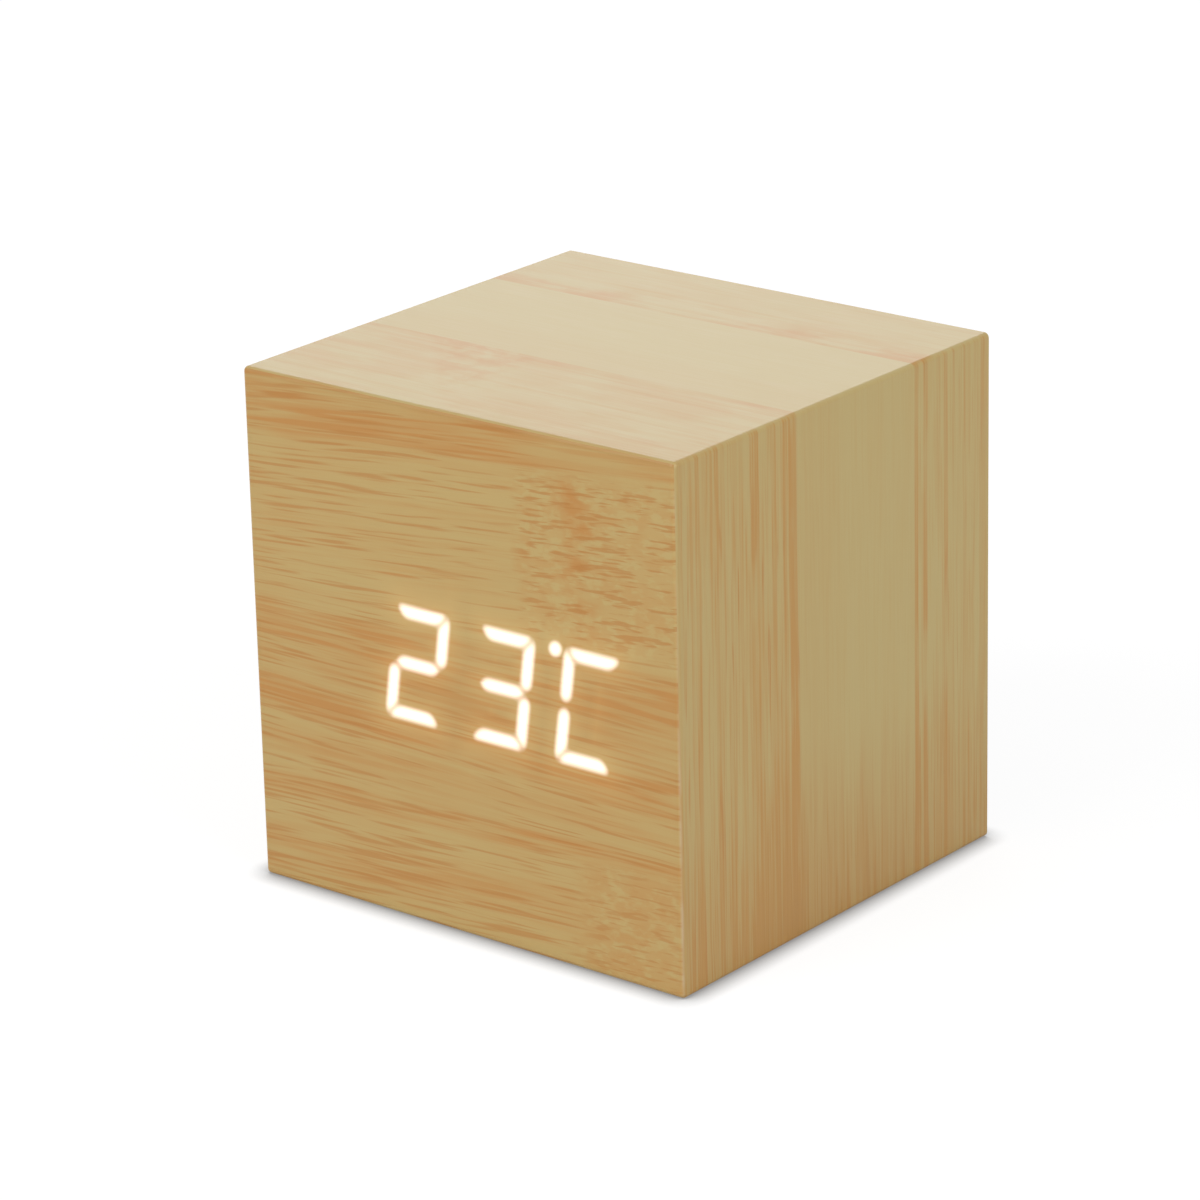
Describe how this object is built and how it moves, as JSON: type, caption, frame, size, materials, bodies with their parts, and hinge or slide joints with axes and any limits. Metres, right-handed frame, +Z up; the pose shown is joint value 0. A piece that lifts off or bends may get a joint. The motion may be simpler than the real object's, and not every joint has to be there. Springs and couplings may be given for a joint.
{
  "type": "cube table clock",
  "caption": "Cube-shaped digital table clock in bamboo-look boards, light digits shining through the front film, hinged battery door, push buttons and power socket at the back.",
  "frame": {"origin": "middle of the underside", "axes": "+Z up, the front with the display faces -Y, the rear panel faces +Y, +X to the right as seen from the front"},
  "size_m": [0.06, 0.0564, 0.06],
  "materials": {
    "bamboo_film": "printed bamboo film, satin",
    "bamboo_board": "fibreboard under a printed bamboo film, satin",
    "fibreboard": "raw fibreboard",
    "white_plastic": "moulded, translucent white",
    "circuit_board": "solder-masked laminate",
    "steel": "plated steel",
    "component_black": "moulded black",
    "black_plastic": "fine moulded texture",
    "button_plastic": "smooth moulded black",
    "cell_jacket": "plain printed foil jacket",
    "red_wire": "insulated wire",
    "black_wire": "insulated wire",
    "grey_ribbon": "flat ribbon cable"
  },
  "bodies": {
    "case": {"front_film": "bamboo_film", "front_board": "fibreboard", "top_board": "bamboo_board", "right_board": "bamboo_board", "bottom_board": "bamboo_board", "left_board": "bamboo_board", "diffuser_sheet": "white_plastic", "segment_mask": "white_plastic", "display_board": "circuit_board", "display_screw_1": "steel", "display_screw_2": "steel", "display_screw_3": "steel", "display_screw_4": "steel", "clock_chip": "component_black", "quartz_crystal": "steel", "alarm_buzzer": "component_black", "sound_sensor": "steel", "rear_panel": "black_plastic", "corner_block_top_left": "fibreboard", "corner_block_top_right": "fibreboard", "corner_block_bottom_left": "fibreboard", "corner_block_bottom_right": "fibreboard", "rear_screw_top_left": "steel", "rear_screw_top_right": "steel", "rear_screw_bottom_left": "steel", "rear_screw_bottom_right": "steel", "battery_cell_1": "cell_jacket", "battery_cell_2": "cell_jacket", "battery_cell_3": "cell_jacket", "contact_positive": "steel", "contact_negative": "steel", "contact_link_1": "steel", "contact_link_2": "steel", "control_board": "circuit_board", "set_switch": "steel", "up_switch": "steel", "down_switch": "steel", "socket_shell": "steel", "socket_tongue": "component_black", "temperature_sensor": "component_black", "lead_positive": "red_wire", "lead_negative": "black_wire", "ribbon_cable": "grey_ribbon"},
    "set_button": {"set_button": "button_plastic", "set_plunger": "component_black"},
    "up_button": {"up_button": "button_plastic", "up_plunger": "component_black"},
    "down_button": {"down_button": "button_plastic", "down_plunger": "component_black"},
    "battery_door": {"battery_door": "black_plastic"}
  },
  "joints": [
    {"name": "set_press", "type": "slide", "parent": "case", "child": "set_button", "axis": [0, -1, 0], "range_m": [0, 0.0005], "stiffness_N_per_m": 2000},
    {"name": "up_press", "type": "slide", "parent": "case", "child": "up_button", "axis": [0, -1, 0], "range_m": [0, 0.0005], "stiffness_N_per_m": 2000},
    {"name": "down_press", "type": "slide", "parent": "case", "child": "down_button", "axis": [0, -1, 0], "range_m": [0, 0.0005], "stiffness_N_per_m": 2000},
    {"name": "battery_door_hinge", "type": "hinge", "parent": "case", "child": "battery_door", "pos_m": [0, 0.026, 0.0135], "axis": [-1, 0, 0], "range_deg": [0, 95]}
  ]
}
